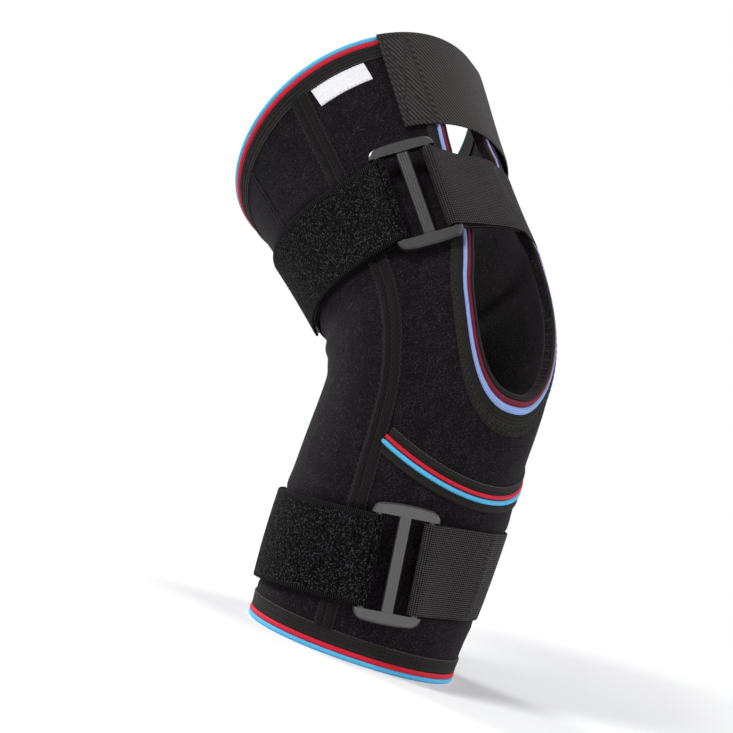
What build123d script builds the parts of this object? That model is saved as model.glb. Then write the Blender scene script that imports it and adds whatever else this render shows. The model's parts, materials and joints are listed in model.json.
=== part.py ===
from build123d import *
import math
import os
from functools import lru_cache

# Open-patella wraparound knee brace for a right leg, in millimetres.
#
# Frame: the calf's axis is +Z and stands on the origin, with the bottom rim flat on z = 0.
# +X is the front of the leg, +Y the inner (medial) side and -Y the outer (lateral) side.
# The knee rests bent, so the leg's axis is a straight calf, an arc and a straight thigh.
#
# A place on the sleeve is given by its station (millimetres along the leg's axis from the
# rim), its angle round the leg (0 at the front, + towards medial) and its height above
# the neoprene's outer face.

# --- driving sizes: the leg that the brace is cut for -------------------------------------
REST_FLEXION = 57.0          # degrees the knee is bent at rest
BEND_START = 137.0           # station where the calf's straight axis starts to bend
BEND_RADIUS = 77.0           # of the leg's axis round the knee
LENGTH = 323.0               # station of the top rim, at the leg's axis
RIM_RADIUS = 58.5            # outside of the straight bottom hem
HEM = 14.0                   # height of that straight hem
KNEE_RADIUS = 62.5           # outside of the sleeve round the knee's bend
# (station, radius) of the sleeve's outer face, above and below the knee
CALF_RADII = [(0.0, RIM_RADIUS), (HEM, RIM_RADIUS), (46.0, 61.2), (BEND_START, KNEE_RADIUS)]
THIGH_RADII = [(246.0, 65.5), (LENGTH, 75.5)]
EXTEND = 57.0                # degrees from rest to the straight leg
FLEX = 38.0                  # degrees from rest to the fullest bend

# --- driving sizes: fabrics ---------------------------------------------------------------
NEOPRENE = 4.0               # thickness
TAPE = 1.0                   # binding tape
BINDING_WIDTH = 13.7         # of the top and bottom edge
WINDOW_BINDING = 15.0        # width of the tape round the knee cap window
EDGE_ROLL = 1.2              # tape beyond the cut edge that it wraps
TRIM_WIDTH = 15.0            # decorative tape below the knee cap
TRIM_THICK = 1.2
TRIM_STATION = 137.0         # where the trim would cross the leg's axis
TRIM_SLOPE = 24.0            # degrees it falls towards the front
TOP_SLOPE = 8.4              # degrees the top rim rises towards the front
CLEAR = 0.3                  # between pieces that move past each other
SEAM = 0.12                  # between layers that are sewn together

# --- driving sizes: knee cap window -------------------------------------------------------
WINDOW_TILT = 45.0           # degrees of the window's normal above the horizontal
WINDOW_RADIUS = 27.0         # of its round bottom
WINDOW_DROP = 28.4           # of that round's centre below the knee's axis, in the window plane
WINDOW_TOP_HALF = 9.0        # half width where it leaves the top rim
WINDOW_REACH = LENGTH - 133.0    # from the round's centre to that place

# --- driving sizes: stays and their channels ----------------------------------------------
# (station, distance of the channel's middle in front of the leg's axis)
CHANNEL_CALF = (-20.0, 28.5)
CHANNEL_BELOW_KNEE = (130.0, 23.5)
CHANNEL_KNEE = (172.0, 20.0)
CHANNEL_ABOVE_KNEE = (214.0, 18.5)
CHANNEL_THIGH = (LENGTH + 37.0, 27.0)
CHANNEL_WIDTH = 12.4
CHANNEL_HEIGHT = 2.6
TUNNEL_WIDTH = 4.7
TUNNEL_ROOF = 0.5
STAY_PITCH = 5.6             # between the two stays of one channel
STAY_WIDTH = 4.2
STAY_THICK = 1.5
STAY_ENDS = (20.0, LENGTH - 18.0)    # stations
CAP_LENGTH = 8.0
BACK_SEAM = -29.0            # distance of the rear thigh seam behind the leg's axis

# --- driving sizes: straps and buckles ----------------------------------------------------
STRAP_WIDTH = 50.0
STRAP_THICK = 1.5
STRAP_BASE = 2.9             # height of the lowest layer, clear of the channels
HOOK_THICK = 0.8
HOOK_TURN = 34.0             # degrees round the leg
STRAP_EASE = 22.0            # degrees in which the strap comes down from the bar
STITCH_EASE = 10.0           # degrees in which the webbing comes down past its stitching
# station of a strap's middle, degrees that it leans forwards and sideways, and the angles
# round the leg of its buckle and of the stitching across its webbing
UPPER_STRAP = {"station": 236.3, "lean": -11.0, "side_lean": 5.3, "buckle": -44.0, "stitching": 10.0}
LOWER_STRAP = {"station": 54.4, "lean": 7.5, "side_lean": 3.2, "buckle": -37.8, "stitching": 18.0}
WEBBING_END = 86.0           # angles where the webbing, the loop strap and its free tip end
LOOP_END = -266.0
TIP = -150.0
BAR_RADIUS = 2.0             # of the buckle's outer bars
BAR_SPACING = 14.5           # from the middle bar to each outer one
MIDDLE_BAR = (7.3, 2.6)      # width, thickness
RAIL_THICK = 4.4
RAIL_HALF = 18.5             # half length of a rail
RAIL_CLEAR = 1.0             # between the strap's edge and a rail
RAIL_WIDTH = 5.2
RAIL_BOW = 1.6
RAIL_CORNER = 6.0            # radius in plan
RAIL_BEVEL = 0.9
RIBS = 4                     # grip ribs along the middle bar
RIB_HEIGHT = 0.45
BAR_CHAMFER = 0.7

# --- driving sizes: top closure strap -----------------------------------------------------
TOP_STRAP = (LENGTH - 53.0, LENGTH + 2.0)  # stations of its lower and upper edge
TOP_STRAP_ANGLES = (-31.0, -16.0, 64.0)   # sewn edge, fold line, free end
TOP_STRAP_BASE = 2.1
LANDING_ANGLES = (36.0, 61.0)
LANDING_THICK = 0.9
HOOK_MARGINS = (4.0, 14.0)   # from the strap's lower and upper edge to its hook patch
LABEL_STATIONS = (LENGTH - 21.0, LENGTH - 10.0)
LABEL_ANGLES = (-64.0, -38.3)
LABEL_THICK = 0.5

# --- cutting solids -------------------------------------------------------------------------
FAR = 400.0                  # their reach
PAST_RIM = 40.0              # length of the leg's form above the top rim
JOINT_ROOM = 3.0             # degrees left at the knee between calf and thigh when it is straight
PIVOT_ROOM = 8.0             # round the knee's axis, left to the soft knee panels
BACK_THIGH = 193.0           # degrees round the knee's axis where the thigh ends behind
BACK_ROOM = 15.0             # degrees left between the straps and the calf at the fullest bend


# --- the leg's axis and the surfaces round it ---------------------------------------------
BEND_END = BEND_START + BEND_RADIUS * math.radians(REST_FLEXION)
RADII = CALF_RADII + [(BEND_END, KNEE_RADIUS)] + THIGH_RADII


def radius_at(station):
    """Radius of the neoprene's outer face, straight between the stated stations."""
    i = max([k for k in range(len(RADII) - 1) if RADII[k][0] <= station], default=0)
    (low, start), (high, end) = RADII[i], RADII[i + 1]
    return start + (end - start) * (station - low) / (high - low)


def axis_at(station):
    """x, z and lean in degrees of the leg's axis at a station."""
    arc = BEND_RADIUS * math.radians(REST_FLEXION)
    lean = min(max(station - BEND_START, 0.0), arc) / BEND_RADIUS
    over = max(station - BEND_START - arc, 0.0)
    x = -BEND_RADIUS * (1 - math.cos(lean)) - over * math.sin(lean)
    z = min(station, BEND_START) + BEND_RADIUS * math.sin(lean) + over * math.cos(lean)
    return x, z, math.degrees(lean)


def station_plane(station, extra_lean=0.0, side_lean=0.0):
    """Plane across the leg: x to the front, y to medial, z up along the leg."""
    x, z, lean = axis_at(station)
    lean = math.radians(lean + extra_lean)
    side = math.radians(side_lean)
    up = Vector(-math.sin(lean), 0, math.cos(lean)) * math.cos(side) - Vector(0, math.sin(side), 0)
    return Plane(origin=(x, 0, z), x_dir=(math.cos(lean), 0, math.sin(lean)), z_dir=up)


def on_leg(station, angle, height):
    """Point at an angle round the leg and a height above the neoprene."""
    turn = math.radians(angle)
    reach = radius_at(station) + height
    return station_plane(station).from_local_coords(
        Vector(reach * math.cos(turn), reach * math.sin(turn), 0)
    )


def turned(radii, height):
    """Solid of revolution about z from (height along z, radius) points."""
    skin = [(r + height, z) for z, r in radii]
    outline = Polyline((0, skin[0][1]), *skin, (0, skin[-1][1]), close=True)
    return revolve(Plane.XZ * make_face(outline), Axis.Z)


@lru_cache
def form(height, spare=0.0):
    """Solid leg, its skin at a height above the neoprene, longer at both ends by a spare."""
    calf_radii = [(-spare, RIM_RADIUS)] + CALF_RADII[1:]
    calf = turned(calf_radii, height)
    ring = station_plane(BEND_START) * Circle(KNEE_RADIUS + height)
    bend_axis = Axis((-BEND_RADIUS, 0, BEND_START), (0, -1, 0))
    knee = revolve(ring, bend_axis, REST_FLEXION)
    past = LENGTH + PAST_RIM + spare
    thigh_radii = [(BEND_END, KNEE_RADIUS)] + THIGH_RADII + [(past, radius_at(past))]
    thigh = station_plane(BEND_END) * turned([(s - BEND_END, r) for s, r in thigh_radii], height)
    return calf + knee + thigh


@lru_cache
def wall(low, high):
    """Shell between two heights above the neoprene."""
    return form(high) - form(low, 5.0)


# --- cutting solids -----------------------------------------------------------------------
def side_prism(outline, side=0):
    """Side-view outline in x and z, run through the leg, or through one side of it only."""
    solid = extrude(Plane.XZ * make_face(outline), amount=FAR / 2, both=True)
    if side:
        solid = solid & Pos(0, side * FAR / 2, 0) * Box(4 * FAR, FAR, 4 * FAR)
    return solid


def slab(plane, low, high):
    """All that lies between two heights above a plane."""
    return plane * Pos(0, 0, (low + high) / 2) * Box(2 * FAR, 2 * FAR, high - low)


def round_sector(plane, start, end, reach=2 * FAR):
    """Wedge between two angles round a plane's z axis."""
    corners = [(0, 0)]
    steps = max(1, math.ceil((end - start) / 60))
    for i in range(steps + 1):
        turn = math.radians(start + (end - start) * i / steps)
        corners.append((reach * math.cos(turn), reach * math.sin(turn)))
    return extrude(plane * make_face(Polyline(*corners, close=True)), amount=FAR / 2, both=True)


KNEE_STATION = BEND_START + BEND_RADIUS * math.radians(REST_FLEXION) / 2
KNEE_X, KNEE_Z, KNEE_LEAN = axis_at(KNEE_STATION)

# The rigid calf and thigh end on planes through the knee's axis, far enough apart for the
# knee to straighten (in front) and to bend (behind).
FRONT_CALF = KNEE_LEAN - (EXTEND + JOINT_ROOM) / 2
FRONT_THIGH = KNEE_LEAN + (EXTEND + JOINT_ROOM) / 2
BACK_CALF = BACK_THIGH + FLEX + BACK_ROOM


def knee_sector(start, end):
    plane = Plane(origin=(KNEE_X, 0, KNEE_Z), x_dir=(1, 0, 0), z_dir=(0, -1, 0))
    return round_sector(plane, start, end)


def knee_disc(radius):
    return Pos(KNEE_X, 0, KNEE_Z) * Rot(90, 0, 0) * Cylinder(radius, FAR)


CALF_ZONE = knee_sector(BACK_CALF - 360, FRONT_CALF) - knee_disc(PIVOT_ROOM)
THIGH_ZONE = knee_sector(FRONT_THIGH, BACK_THIGH) - knee_disc(PIVOT_ROOM)
KNEE_ZONE = (
    knee_sector(FRONT_CALF, FRONT_THIGH - CLEAR)
    + knee_sector(BACK_THIGH + CLEAR, BACK_CALF)
    + knee_disc(PIVOT_ROOM - CLEAR)
)

TOP_PLANE = station_plane(LENGTH, extra_lean=TOP_SLOPE)


def channel_curve(shift):
    """Side-view line beside the middle of the channel, from the calf to the thigh."""
    points = []
    for station, forward in (
        CHANNEL_CALF, CHANNEL_BELOW_KNEE, CHANNEL_KNEE, CHANNEL_ABOVE_KNEE, CHANNEL_THIGH
    ):
        x, z, lean = axis_at(station)
        turn = math.radians(lean)
        points.append((x + (forward + shift) * math.cos(turn), z + (forward + shift) * math.sin(turn)))
    calf, below, knee, above, thigh = points
    return [Line(calf, below), ThreePointArc(below, knee, above), Line(above, thigh)], calf, thigh


def channel_strip(low, high, side):
    """Strip of the side view between two distances from the channel's middle."""
    back, back_low, back_high = channel_curve(low)
    front, front_low, front_high = channel_curve(high)
    rim = [Line(back_low, front_low), Line(front_high, back_high)]
    return side_prism(back + front + rim, side=side)


def in_front(shift):
    """All that lies in front of a line beside the channel's middle."""
    curve, low, high = channel_curve(shift)
    rest = Polyline(high, (high[0], 2 * FAR), (FAR, 2 * FAR), (FAR, -FAR), (low[0], -FAR), low)
    return side_prism(curve + rest.edges())


def window(grow):
    """Round-bottomed window, tapering to the top rim, cut through the front of the sleeve."""
    tilt = math.radians(WINDOW_TILT)
    plane = Plane(
        origin=(KNEE_X, 0, KNEE_Z),
        x_dir=(0, 1, 0),
        z_dir=(math.cos(tilt), 0, math.sin(tilt)),
    )
    radius = WINDOW_RADIUS + grow
    centre = -WINDOW_DROP
    taper = math.asin((WINDOW_RADIUS - WINDOW_TOP_HALF) / WINDOW_REACH)
    touch = (radius * math.cos(taper), centre + radius * math.sin(taper))
    top = (WINDOW_TOP_HALF + grow, centre + WINDOW_REACH + PAST_RIM)
    round_bottom = ThreePointArc((-touch[0], touch[1]), (0, centre - radius), touch)
    sides = Polyline(touch, top, (-top[0], top[1]), (-touch[0], touch[1]))
    return extrude(plane * make_face(round_bottom.edges() + sides.edges()), amount=FAR)


# --- the neoprene panels ------------------------------------------------------------------
def hem_ring(low, high, start, end):
    """Straight round part of the sleeve at the bottom hem."""
    ring = Cylinder(RIM_RADIUS + high, end - start) - Cylinder(RIM_RADIUS + low, 2 * (end - start))
    return Pos(0, 0, (start + end) / 2) * ring


def cut_sleeve():
    """The neoprene tube, short of both rims by the bindings' edge roll."""
    tube = wall(-NEOPRENE, 0) & slab(TOP_PLANE, -2 * FAR, -EDGE_ROLL)
    return tube & slab(Plane.XY, EDGE_ROLL, 2 * FAR)


TRIM_PLANE = Plane(
    origin=(0, 0, TRIM_STATION),
    x_dir=(math.cos(math.radians(TRIM_SLOPE)), 0, -math.sin(math.radians(TRIM_SLOPE))),
    z_dir=(math.sin(math.radians(TRIM_SLOPE)), 0, math.cos(math.radians(TRIM_SLOPE))),
)


def rear_seam():
    """All that lies behind the seam down the back of the thigh."""
    seam = []
    for station in (BEND_START, (BEND_START + LENGTH) / 2, LENGTH + 2 * PAST_RIM):
        x, z, lean = axis_at(station)
        turn = math.radians(lean)
        seam.append((x + BACK_SEAM * math.cos(turn), z + BACK_SEAM * math.sin(turn)))
    rest = [(-2 * FAR, seam[-1][1]), (-2 * FAR, -FAR), (seam[0][0], -FAR)]
    return side_prism(Polyline(*seam, *rest, close=True))


def largest_on(part, side):
    """The largest solid of a part on one side of the leg."""
    return Part(max((s for s in part.solids() if side * s.center().Y > 0), key=lambda s: s.volume).wrapped)


def panels():
    cut = cut_sleeve() - window(EDGE_ROLL)
    ahead = in_front(0)
    front, back = cut & ahead, cut - ahead
    calf_front = front & CALF_ZONE
    thigh_front = front & THIGH_ZONE
    thigh_back = back & THIGH_ZONE
    behind = rear_seam()
    sides = thigh_back - behind
    return {
        "calf_front_panel": calf_front & slab(TRIM_PLANE, -FAR, 0),
        "knee_base_panel": calf_front & slab(TRIM_PLANE, 0, FAR),
        "calf_back_panel": back & CALF_ZONE,
        "knee_front_panel": front & KNEE_ZONE,
        "popliteal_panel": back & KNEE_ZONE,
        "thigh_front_panel_lateral": largest_on(thigh_front, -1),
        "thigh_front_panel_medial": largest_on(thigh_front, 1),
        "thigh_side_panel_lateral": largest_on(sides, -1),
        "thigh_side_panel_medial": largest_on(sides, 1),
        "thigh_back_panel": thigh_back & behind,
    }


# --- bindings and tapes -------------------------------------------------------------------
def bindings():
    outer, inner = wall(-NEOPRENE - TAPE, TAPE), wall(-NEOPRENE - SEAM, SEAM)
    below_top = slab(TOP_PLANE, -2 * FAR, -EDGE_ROLL)
    top = (outer & slab(TOP_PLANE, -BINDING_WIDTH, 0)) - (inner & below_top)
    wide = window(WINDOW_BINDING)
    round_window = (outer & wide & slab(TOP_PLANE, -2 * FAR, 0)) - window(0)
    kept = (inner & below_top) - window(EDGE_ROLL - SEAM)
    round_window = round_window - kept
    bottom = hem_ring(-NEOPRENE - TAPE, TAPE, 0, BINDING_WIDTH)
    bottom = fillet(bottom.edges().group_by(Axis.Z)[0], TAPE * 0.6)
    bottom = bottom - hem_ring(-NEOPRENE - SEAM, SEAM, EDGE_ROLL, HEM)
    return {
        "top_binding": top - wide,
        "bottom_binding": bottom,
        "window_binding_base": round_window & CALF_ZONE,
        "window_binding_knee": round_window & KNEE_ZONE,
        "window_binding_sides": round_window & THIGH_ZONE,
    }


def trim():
    band = wall(SEAM, TRIM_THICK) & slab(TRIM_PLANE, -TRIM_WIDTH / 2, TRIM_WIDTH / 2)
    return band & in_front(CHANNEL_WIDTH / 2 + CLEAR)


# --- stay channels ------------------------------------------------------------------------
def channel_pieces(side, name):
    """Twin-tunnel tape, its two stays and their end caps, on one side of the knee."""
    roof = CHANNEL_HEIGHT - TUNNEL_ROOF
    span = slab(TOP_PLANE, -2 * FAR, -BINDING_WIDTH) & slab(Plane.XY, BINDING_WIDTH, 2 * FAR)
    tape = wall(SEAM, CHANNEL_HEIGHT) & channel_strip(-CHANNEL_WIDTH / 2, CHANNEL_WIDTH / 2, side) & span
    hollow = wall(-NEOPRENE / 2, roof)
    first, last = STAY_ENDS
    stay_body = wall(CLEAR, CLEAR + STAY_THICK)
    stays, caps_low, caps_high = [], [], []
    for shift in (-STAY_PITCH / 2, STAY_PITCH / 2):
        tape = tape - (hollow & channel_strip(shift - TUNNEL_WIDTH / 2, shift + TUNNEL_WIDTH / 2, side))
        strip = stay_body & channel_strip(shift - STAY_WIDTH / 2, shift + STAY_WIDTH / 2, side)
        low, high = station_plane(first), station_plane(last)
        stays.append(strip & slab(low, CAP_LENGTH, FAR) & slab(high, -FAR, -CAP_LENGTH))
        caps_low.append(strip & slab(low, 0, CAP_LENGTH))
        caps_high.append(strip & slab(high, -CAP_LENGTH, 0))
    return {
        f"{name}_channel_calf": tape & CALF_ZONE,
        f"{name}_channel_knee": tape & KNEE_ZONE,
        f"{name}_channel_thigh": tape & THIGH_ZONE,
        f"{name}_rear_stay": stays[0],
        f"{name}_front_stay": stays[1],
        f"{name}_stay_caps_calf": caps_low,
        f"{name}_stay_caps_thigh": caps_high,
    }


# --- straps and buckles -------------------------------------------------------------------
class StrapLoop:
    """A strap's own plane, with the oval that clears the leg over the strap's whole width."""

    def __init__(self, station, lean, side_lean, buckle, stitching):
        self.plane = station_plane(station, extra_lean=lean, side_lean=side_lean)
        reach = []
        for along in range(-60, 61, 2):
            for turn in range(0, 360, 6):
                spot = self.plane.to_local_coords(on_leg(station + along, turn, 0))
                if abs(spot.Z) <= STRAP_WIDTH / 2:
                    reach.append(spot)
        xs, ys = [p.X for p in reach], [p.Y for p in reach]
        self.centre = ((max(xs) + min(xs)) / 2, (max(ys) + min(ys)) / 2)
        half = ((max(xs) - min(xs)) / 2, (max(ys) - min(ys)) / 2)
        grow = max(
            math.hypot((x - self.centre[0]) / half[0], (y - self.centre[1]) / half[1])
            for x, y in zip(xs, ys)
        )
        self.half = [h * grow for h in half]
        self.stitching = stitching
        self.bar_height = STRAP_BASE + STRAP_THICK + CLEAR + BAR_RADIUS
        self.turn_per_mm = 180 / math.pi / ((self.half[0] + self.half[1]) / 2 + self.bar_height)
        self.rear_angle = buckle - BAR_SPACING * self.turn_per_mm
        self.front_angle = buckle + BAR_SPACING * self.turn_per_mm
        self.rear_bar = self.spot(self.rear_angle, self.bar_height)
        self.front_bar = self.spot(self.front_angle, self.bar_height)

    def spot(self, angle, height):
        turn = math.radians(angle)
        return Vector(
            self.centre[0] + (self.half[0] + height) * math.cos(turn),
            self.centre[1] + (self.half[1] + height) * math.sin(turn),
        )

    def outward(self, angle):
        """Direction square to the oval, in degrees."""
        turn = math.radians(angle)
        return math.degrees(math.atan2(self.half[0] * math.sin(turn), self.half[1] * math.cos(turn)))

    def across(self, face, width=STRAP_WIDTH):
        return extrude(self.plane * face, amount=width / 2, both=True)

    def edge(self, start, end, low, high):
        """Line of a layer between two angles: along the oval, or an arc that climbs."""
        if low == high:
            return EllipticalCenterArc(
                self.centre, self.half[0] + low, self.half[1] + low, start_angle=start, arc_size=end - start
            )
        middle = self.spot((start + end) / 2, (low + high) / 2)
        return ThreePointArc(self.spot(start, low), middle, self.spot(end, high))

    def layer(self, start, end, low, high=None, thick=STRAP_THICK):
        """Layer of strap between two angles, its underside at a height, or climbing to another."""
        high = low if high is None else high
        under = self.edge(start, end, low, high)
        over = self.edge(start, end, low + thick, high + thick)
        return self.across(make_face([under, over, Line(under @ 0, over @ 0), Line(under @ 1, over @ 1)]))

    def wrap(self, bar, start, turn):
        """Strap bent round a bar from a direction, through a turn, in degrees."""
        inner = BAR_RADIUS + CLEAR
        radii = (inner, inner + STRAP_THICK)
        half_ring = [CenterArc((bar.X, bar.Y), radius, start, turn) for radius in radii]
        rim = [Line(half_ring[0] @ k, half_ring[1] @ k) for k in (0, 1)]
        return self.across(make_face(half_ring + rim))


def buckle(loop):
    """Three-bar slide: two bowed rails, two round outer bars and a ridged middle bar."""
    front, rear = loop.front_bar, loop.rear_bar
    middle = (front + rear) * 0.5
    along = (front - rear).normalized()
    spread = (front - rear).length / 2
    place = loop.plane * Plane(
        origin=middle, x_dir=along, z_dir=Vector(along.Y, -along.X, 0)
    )
    inner, half = STRAP_WIDTH / 2 + RAIL_CLEAR, RAIL_HALF
    outer = inner + RAIL_WIDTH
    outline = [
        ThreePointArc((-half, outer), (0, outer + RAIL_BOW), (half, outer)),
        Line((half, outer), (half, -outer)),
        ThreePointArc((half, -outer), (0, -outer - RAIL_BOW), (-half, -outer)),
        Line((-half, -outer), (-half, outer)),
    ]
    plate = make_face(outline)
    plate = fillet(plate.vertices(), RAIL_CORNER)
    rails = Pos(0, 0, -RAIL_THICK / 2) * extrude(plate, amount=RAIL_THICK)
    rims = rails.edges().group_by(Axis.Z)
    rails = chamfer(rims[0] + rims[-1], RAIL_BEVEL)
    rails = rails - Box(3 * half, 2 * inner, 2 * RAIL_THICK)
    width, thick = MIDDLE_BAR
    bar = Box(width, 2 * inner + RAIL_WIDTH / 2, thick)
    bar = chamfer(bar.edges().filter_by(Axis.Y), BAR_CHAMFER)
    rib_pitch = (width - 2 * BAR_CHAMFER) / RIBS
    for i in range(RIBS):
        rib = Box(rib_pitch / 2, STRAP_WIDTH, 2 * RIB_HEIGHT)
        bar = bar + Pos((i - (RIBS - 1) / 2) * rib_pitch, 0, thick / 2) * rib
    rod = Rot(90, 0, 0) * Cylinder(BAR_RADIUS, 2 * inner + RAIL_WIDTH / 2)
    body = rails + bar + Pos(spread, 0, 0) * rod + Pos(-spread, 0, 0) * rod
    return place * body


def strap_pieces(loop, name):
    """Webbing, buckle, loop strap and its folded-back end of one strap."""
    second = STRAP_BASE + STRAP_THICK + CLEAR
    over_bar = loop.bar_height + BAR_RADIUS + CLEAR
    rear_out, front_out = loop.outward(loop.rear_angle), loop.outward(loop.front_angle)

    # webbing: sewn down on the medial side, round the front bar and back under itself
    stitching = loop.stitching
    landed, down = loop.front_angle + STRAP_EASE, stitching + STITCH_EASE
    webbing = (
        loop.layer(loop.front_angle, landed, over_bar, second)
        + loop.layer(landed, stitching, second)
        + loop.layer(stitching, down, second, STRAP_BASE)
        + loop.layer(down, WEBBING_END, STRAP_BASE)
        + loop.layer(loop.front_angle, stitching - 1, STRAP_BASE)
        + loop.wrap(loop.front_bar, front_out - 180, 180)
    )

    # loop strap: round the back of the leg to the rear bar, folded over it and back
    room = math.degrees(CLEAR / (BAR_RADIUS + CLEAR))
    folded = loop.rear_angle - CLEAR * loop.turn_per_mm
    outer_base = second + HOOK_THICK
    landed = folded - STRAP_EASE
    strap_end = loop.layer(landed, folded, outer_base, over_bar) + loop.layer(TIP, landed, outer_base)
    return {
        f"{name}_webbing": webbing,
        f"{name}_buckle": buckle(loop),
        f"{name}_loop_strap": loop.layer(LOOP_END, loop.rear_angle, STRAP_BASE),
        f"{name}_strap_fold": loop.wrap(loop.rear_bar, rear_out, 180 - room),
        f"{name}_strap_end": strap_end,
        f"{name}_hook_tab": loop.layer(TIP, TIP + HOOK_TURN, second, thick=HOOK_THICK - SEAM),
    }


# --- top closure strap and label ----------------------------------------------------------
def top_strap_pieces():
    plane = station_plane((TOP_STRAP[0] + TOP_STRAP[1]) / 2)
    half = (TOP_STRAP[1] - TOP_STRAP[0]) / 2
    span = slab(plane, -half, half)
    sewn, fold, free = TOP_STRAP_ANGLES
    strap = wall(TOP_STRAP_BASE, TOP_STRAP_BASE + STRAP_THICK) & span
    tab = wall(TAPE + 0.2, TOP_STRAP_BASE + STRAP_THICK) & span
    pad_span = slab(plane, -half + HOOK_MARGINS[0], half - HOOK_MARGINS[1])
    start, end = LANDING_ANGLES
    hook = wall(TOP_STRAP_BASE - HOOK_THICK, TOP_STRAP_BASE - SEAM) & pad_span
    landing = wall(SEAM, LANDING_THICK) & pad_span
    label_plane = station_plane(sum(LABEL_STATIONS) / 2)
    label_half = (LABEL_STATIONS[1] - LABEL_STATIONS[0]) / 2
    label = wall(SEAM, LABEL_THICK + SEAM) & slab(label_plane, -label_half, label_half)
    return {
        "top_strap": strap & round_sector(plane, fold + 0.25, free),
        "top_strap_tab": tab & round_sector(plane, sewn, fold),
        "top_strap_hook": hook & round_sector(plane, start + 1, end + 1),
        "top_strap_landing": landing & round_sector(plane, start, end),
        "label": label & round_sector(label_plane, *LABEL_ANGLES),
    }


UPPER_LOOP = StrapLoop(**UPPER_STRAP)
LOWER_LOOP = StrapLoop(**LOWER_STRAP)


def build():
    pieces = {}
    pieces.update(panels())
    pieces.update(bindings())
    pieces["curved_trim"] = trim()
    pieces.update(channel_pieces(-1, "lateral"))
    pieces.update(channel_pieces(1, "medial"))
    pieces.update(strap_pieces(UPPER_LOOP, "upper"))
    pieces.update(strap_pieces(LOWER_LOOP, "lower"))
    pieces.update(top_strap_pieces())
    return pieces


def report_pivots():
    """Print the joint axes in the row's frame, in millimetres."""
    print("knee", [round(v, 3) for v in (KNEE_X, 0, KNEE_Z)])
    for name, loop in (("upper", UPPER_LOOP), ("lower", LOWER_LOOP)):
        out = math.radians(loop.outward(loop.rear_angle))
        lift = BAR_RADIUS + CLEAR + STRAP_THICK
        edge = loop.rear_bar + Vector(math.cos(out), math.sin(out)) * lift
        for label, spot in (("front bar", loop.front_bar), ("strap end", edge)):
            place = loop.plane.from_local_coords(spot)
            print(name, label, [round(v, 3) for v in place], [round(v, 5) for v in loop.plane.z_dir])
    top = [on_leg(s, TOP_STRAP_ANGLES[1], TOP_STRAP_BASE + STRAP_THICK) for s in TOP_STRAP]
    print("top strap", [round(v, 3) for v in top[0]], [round(v, 5) for v in (top[0] - top[1]).normalized()])


os.makedirs("parts", exist_ok=True)
for node, solid in build().items():
    if isinstance(solid, list):
        solid = Compound(children=[s for part in solid for s in part.solids()])
    export_step(solid, f"parts/{node}.step")
report_pivots()
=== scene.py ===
"""Looks of an open-patella wraparound knee brace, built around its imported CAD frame.

Lengths are millimetres in the CAD frame until a mesh is made. A place on the sleeve is its
station (along the leg's axis from the bottom rim), its angle round the leg (radians, 0 at
the front, + towards medial) and its height over the neoprene's outer face. Angles in a
strap's own plane are degrees.
"""
import json
import math

import bmesh
import bpy
import numpy as np
from mathutils import Matrix, Vector


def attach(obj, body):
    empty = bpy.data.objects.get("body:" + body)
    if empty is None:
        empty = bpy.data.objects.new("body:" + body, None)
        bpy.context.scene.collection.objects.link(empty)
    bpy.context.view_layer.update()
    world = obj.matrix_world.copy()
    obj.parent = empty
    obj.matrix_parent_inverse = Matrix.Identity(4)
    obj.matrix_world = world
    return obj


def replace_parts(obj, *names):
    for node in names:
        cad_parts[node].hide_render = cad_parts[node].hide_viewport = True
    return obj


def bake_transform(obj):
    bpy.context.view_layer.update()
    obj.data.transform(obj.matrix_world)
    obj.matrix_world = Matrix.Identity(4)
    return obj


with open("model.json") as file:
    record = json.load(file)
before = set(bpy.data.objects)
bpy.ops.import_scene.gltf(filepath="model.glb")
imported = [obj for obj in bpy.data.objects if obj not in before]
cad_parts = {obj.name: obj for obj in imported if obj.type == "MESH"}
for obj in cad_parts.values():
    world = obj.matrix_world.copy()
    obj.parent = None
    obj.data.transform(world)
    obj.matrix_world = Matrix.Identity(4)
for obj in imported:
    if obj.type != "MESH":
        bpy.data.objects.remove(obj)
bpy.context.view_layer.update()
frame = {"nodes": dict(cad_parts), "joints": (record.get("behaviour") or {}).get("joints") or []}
JOINTS = {j["name"]: j for j in frame["joints"]}
MM, DEGREE = 0.001, math.pi / 180

# --- sizes ---
BEND_START, BEND_RADIUS = 137.0, 77.0
FLEXION = math.radians(57.0)
BEND_END = BEND_START + BEND_RADIUS * FLEXION
TOP, TOP_RISE = 323.3, 11.0  # station of the top rim at the sides, and its rise in front
NEOPRENE = 4.0
EDGE = 1.2  # edge roll of the bindings beyond the neoprene's cut edge
INSIDE = -NEOPRENE - 0.9  # height of a binding's inner face
# (station, half depth, half width) of the sleeve
GIRTHS = [
    (-10, 58.2, 57.0), (0, 58.3, 57.2), (46, 61.4, 59.6), (98, 61.7, 59.9), (143, 61.5, 58.6),
    (168, 64.6, 60.6), (198, 63.6, 60.9), (246, 65.3, 65.3), (323, 75.0, 76.5), (350, 78.4, 80.4),
]
# (station, degrees round the leg) of the middle of a stay channel, on the medial side
CHANNEL = [(-5, 61.0), (20, 61.5), (115, 66.8), (170, 71.5), (210, 74.2), (260, 72.6), (345, 69.6)]
CHANNEL_WIDTH, STAY_SHIFT = 11.6, 2.75
REAR_SEAM = 113.0  # degrees round the leg
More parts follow.
